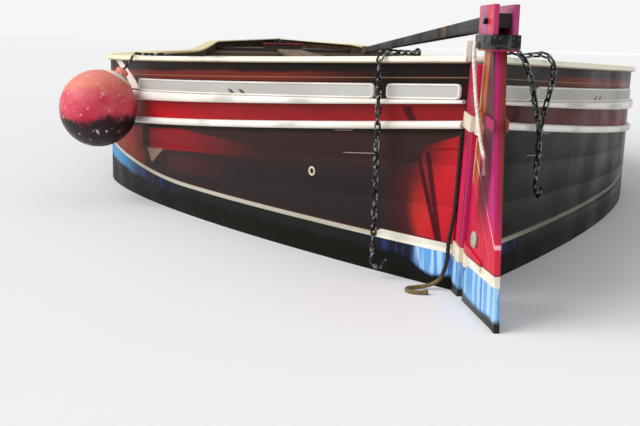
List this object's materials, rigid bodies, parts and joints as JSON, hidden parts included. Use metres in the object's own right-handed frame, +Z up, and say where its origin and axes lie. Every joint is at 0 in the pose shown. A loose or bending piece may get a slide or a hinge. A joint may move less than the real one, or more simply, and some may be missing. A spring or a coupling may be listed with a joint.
{
  "type": "narrowboat",
  "caption": "Open wooden narrowboat, flat-bottomed and double-ended, with decked ends, a hold and an outboard rudder with a long tiller.",
  "frame": {"origin": "middle of the flat bottom's underside, midway between the two posts", "axes": "+X to the bow, +Y to port, +Z up; the waterline is at z = 0.45 m"},
  "size_m": [14.3751, 2.1885, 1.09],
  "materials": {
    "topside": "gloss paint, weathered",
    "bottomTar": "tarred",
    "cream": "gloss paint",
    "white": "gloss paint",
    "panel": "gloss paint",
    "post": "gloss paint",
    "bareWood": "bare, weathered",
    "deckPaint": "worn paint",
    "iron": "blacked, slightly rusty",
    "darkWood": "dark paint",
    "fender": "worn",
    "rope": "laid rope",
    "darkRope": "laid rope, tarred"
  },
  "bodies": {
    "hull": {"bottom": "bottomTar", "side_aft_port": "topside", "side_aft_starboard": "topside", "side_middle_port": "topside", "side_middle_starboard": "topside", "side_fore_port": "topside", "side_fore_starboard": "topside", "gunwale_aft_port": "cream", "gunwale_aft_starboard": "cream", "gunwale_middle_port": "cream", "gunwale_middle_starboard": "cream", "gunwale_fore_port": "cream", "gunwale_fore_starboard": "cream", "upper_strake_port": "white", "upper_strake_starboard": "white", "lower_strake_port": "white", "lower_strake_starboard": "white", "stern_panel_long_port": "panel", "stern_panel_long_starboard": "panel", "stern_panel_short_port": "panel", "stern_panel_short_starboard": "panel", "sternpost": "post", "stempost": "post", "keelson": "bareWood", "frames_port": "bareWood", "frames_starboard": "bareWood", "beam_aft": "bareWood", "beam_middle": "bareWood", "beam_fore": "bareWood", "gangplank": "bareWood", "floorboards": "bareWood", "stern_deck": "deckPaint", "fore_deck": "deckPaint", "stern_bulkhead": "deckPaint", "fore_bulkhead": "deckPaint", "fore_coaming": "deckPaint", "dolly_port": "iron", "dolly_starboard": "iron", "bow_stud": "iron", "gudgeon_upper": "iron", "gudgeon_lower": "iron", "heel_shoe": "iron", "chain_port": "iron", "chain_starboard": "iron", "bow_fender_sling": "iron", "ball_fender": "fender", "fender_lanyard": "rope", "bow_fender": "rope", "stern_rope": "darkRope"},
    "rudder": {"rudder_blade": "post", "pintle_upper": "iron", "pintle_lower": "iron", "rudder_head": "post", "rudder_collar": "iron", "tiller_pin": "iron", "rudder_rope": "rope"},
    "tiller": {"tiller": "darkWood"},
    "locker_door_port": {"locker_door_port": "deckPaint"},
    "locker_door_starboard": {"locker_door_starboard": "deckPaint"},
    "fore_hatch_lid": {"fore_hatch_lid": "topside"}
  },
  "joints": [
    {"name": "rudder_swing", "type": "hinge", "parent": "hull", "child": "rudder", "pos_m": [-6.729, 0, 0.45], "axis": [-0.1392, 0, 0.9903], "range_deg": [-25, 25]},
    {"name": "tiller_lift", "type": "hinge", "parent": "rudder", "child": "tiller", "pos_m": [-6.85, 0, 1.058], "axis": [0, -1, 0], "range_deg": [0, 25]},
    {"name": "locker_door_port_hinge", "type": "hinge", "parent": "hull", "child": "locker_door_port", "pos_m": [-5.104, 0.283, 0.477], "axis": [0, 0, 1], "range_deg": [0, 100]},
    {"name": "locker_door_starboard_hinge", "type": "hinge", "parent": "hull", "child": "locker_door_starboard", "pos_m": [-5.104, -0.283, 0.477], "axis": [0, 0, -1], "range_deg": [0, 100]},
    {"name": "fore_hatch_hinge", "type": "hinge", "parent": "hull", "child": "fore_hatch_lid", "pos_m": [5.482, 0, 0.902], "axis": [0, 1, 0], "range_deg": [0, 105]}
  ]
}
